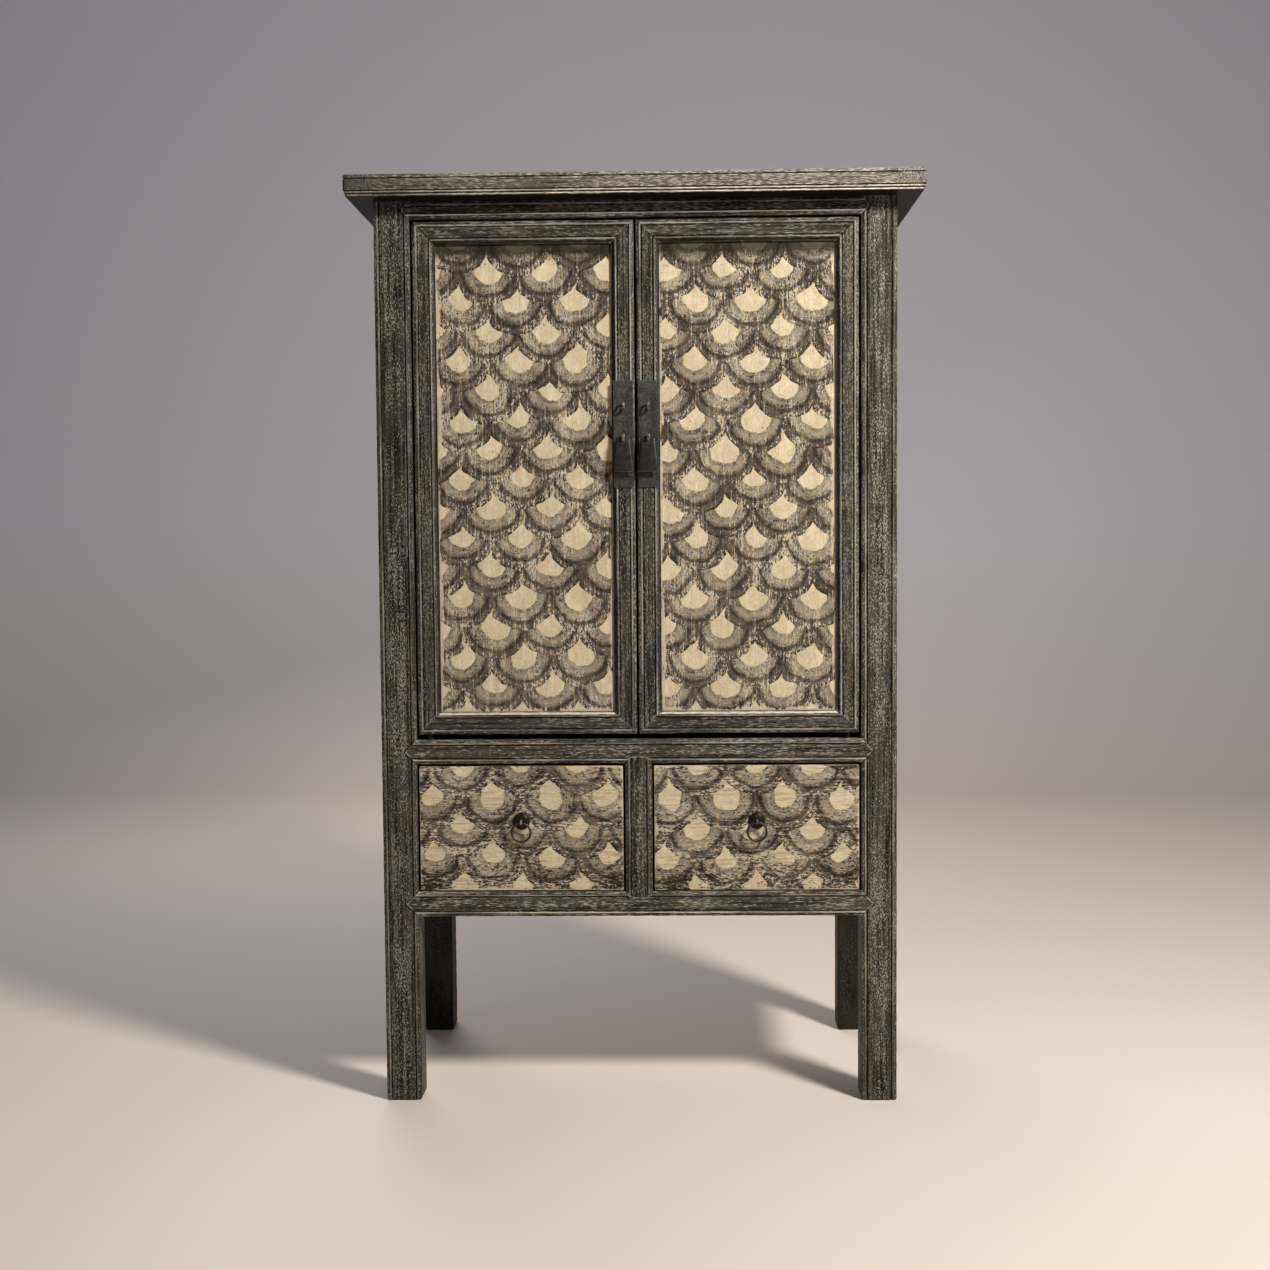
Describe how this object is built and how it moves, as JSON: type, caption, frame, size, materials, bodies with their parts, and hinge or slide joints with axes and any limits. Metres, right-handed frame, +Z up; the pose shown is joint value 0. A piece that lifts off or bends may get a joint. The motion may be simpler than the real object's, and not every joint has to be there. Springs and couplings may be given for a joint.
{
  "type": "painted cabinet",
  "caption": "Free-standing tall wooden cabinet with pivot-hung panel doors over drawers, moulded frame, scale-pattern painted panels and black iron pulls.",
  "frame": {"origin": "on the floor, under the middle of the top", "axes": "+Z up; -Y towards the front, where the doors open; +X to the viewer's right"},
  "size_m": [1.068, 0.612, 1.75],
  "materials": {
    "frame_lacquer": "worn dark lacquer, rubbed through in specks and along edges",
    "painted_panel": "worn paint in a fish-scale pattern of charcoal, grey and cream",
    "bare_wood": "bare planed wood",
    "black_iron": "blackened iron, slightly glossy"
  },
  "bodies": {
    "carcase": {"top_board": "frame_lacquer", "top_cleat_left": "frame_lacquer", "top_cleat_right": "frame_lacquer", "post_front_left": "frame_lacquer", "post_front_right": "frame_lacquer", "post_back_left": "frame_lacquer", "post_back_right": "frame_lacquer", "front_top_rail": "frame_lacquer", "front_middle_rail": "frame_lacquer", "front_bottom_rail": "frame_lacquer", "drawer_divider": "frame_lacquer", "side_top_rail_left": "frame_lacquer", "side_top_rail_right": "frame_lacquer", "side_bottom_rail_left": "frame_lacquer", "side_bottom_rail_right": "frame_lacquer", "side_panel_left": "frame_lacquer", "side_panel_right": "frame_lacquer", "back_middle_rail": "frame_lacquer", "back_bottom_rail": "frame_lacquer", "back_panel": "frame_lacquer", "cabinet_floor": "bare_wood", "drawer_deck": "bare_wood", "drawer_centre_guide": "bare_wood", "shelf": "bare_wood", "shelf_bearer_left": "bare_wood", "shelf_bearer_right": "bare_wood"},
    "left_door": {"left_door_hinge_stile": "frame_lacquer", "left_door_meeting_stile": "frame_lacquer", "left_door_top_rail": "frame_lacquer", "left_door_bottom_rail": "frame_lacquer", "left_door_panel": "painted_panel", "left_door_plate": "black_iron", "left_door_lock_staple": "black_iron", "left_door_pull_staple": "black_iron"},
    "left_pull": {"left_door_pull": "black_iron"},
    "left_drawer": {"left_drawer_front": "painted_panel", "left_drawer_wall_inner": "bare_wood", "left_drawer_wall_outer": "bare_wood", "left_drawer_back": "bare_wood", "left_drawer_bottom": "bare_wood", "left_drawer_rose": "black_iron", "left_drawer_cotter": "black_iron"},
    "left_ring": {"left_drawer_ring": "black_iron"},
    "right_door": {"right_door_hinge_stile": "frame_lacquer", "right_door_meeting_stile": "frame_lacquer", "right_door_top_rail": "frame_lacquer", "right_door_bottom_rail": "frame_lacquer", "right_door_panel": "painted_panel", "right_door_plate": "black_iron", "right_door_lock_staple": "black_iron", "right_door_pull_staple": "black_iron"},
    "right_pull": {"right_door_pull": "black_iron"},
    "right_drawer": {"right_drawer_front": "painted_panel", "right_drawer_wall_inner": "bare_wood", "right_drawer_wall_outer": "bare_wood", "right_drawer_back": "bare_wood", "right_drawer_bottom": "bare_wood", "right_drawer_rose": "black_iron", "right_drawer_cotter": "black_iron"},
    "right_ring": {"right_drawer_ring": "black_iron"}
  },
  "joints": [
    {"name": "left_door_hinge", "type": "hinge", "parent": "carcase", "child": "left_door", "pos_m": [-0.3965, -0.244, 0.706], "axis": [0, 0, -1], "range_deg": [0, 110]},
    {"name": "left_pull_swing", "type": "hinge", "parent": "left_door", "child": "left_pull", "pos_m": [-0.0235, -0.2678, 1.265], "axis": [-1, 0, 0], "range_deg": [-4, 100]},
    {"name": "left_drawer_slide", "type": "slide", "parent": "carcase", "child": "left_drawer", "axis": [0, -1, 0], "range_m": [0, 0.3]},
    {"name": "left_ring_swing", "type": "hinge", "parent": "left_drawer", "child": "left_ring", "pos_m": [-0.22375, -0.2698, 0.53835], "axis": [-1, 0, 0], "range_deg": [-10, 100]},
    {"name": "right_door_hinge", "type": "hinge", "parent": "carcase", "child": "right_door", "pos_m": [0.3965, -0.244, 0.706], "axis": [0, 0, 1], "range_deg": [0, 110]},
    {"name": "right_pull_swing", "type": "hinge", "parent": "right_door", "child": "right_pull", "pos_m": [0.0235, -0.2678, 1.265], "axis": [-1, 0, 0], "range_deg": [-4, 100]},
    {"name": "right_drawer_slide", "type": "slide", "parent": "carcase", "child": "right_drawer", "axis": [0, -1, 0], "range_m": [0, 0.3]},
    {"name": "right_ring_swing", "type": "hinge", "parent": "right_drawer", "child": "right_ring", "pos_m": [0.22375, -0.2698, 0.53835], "axis": [-1, 0, 0], "range_deg": [-10, 100]}
  ]
}
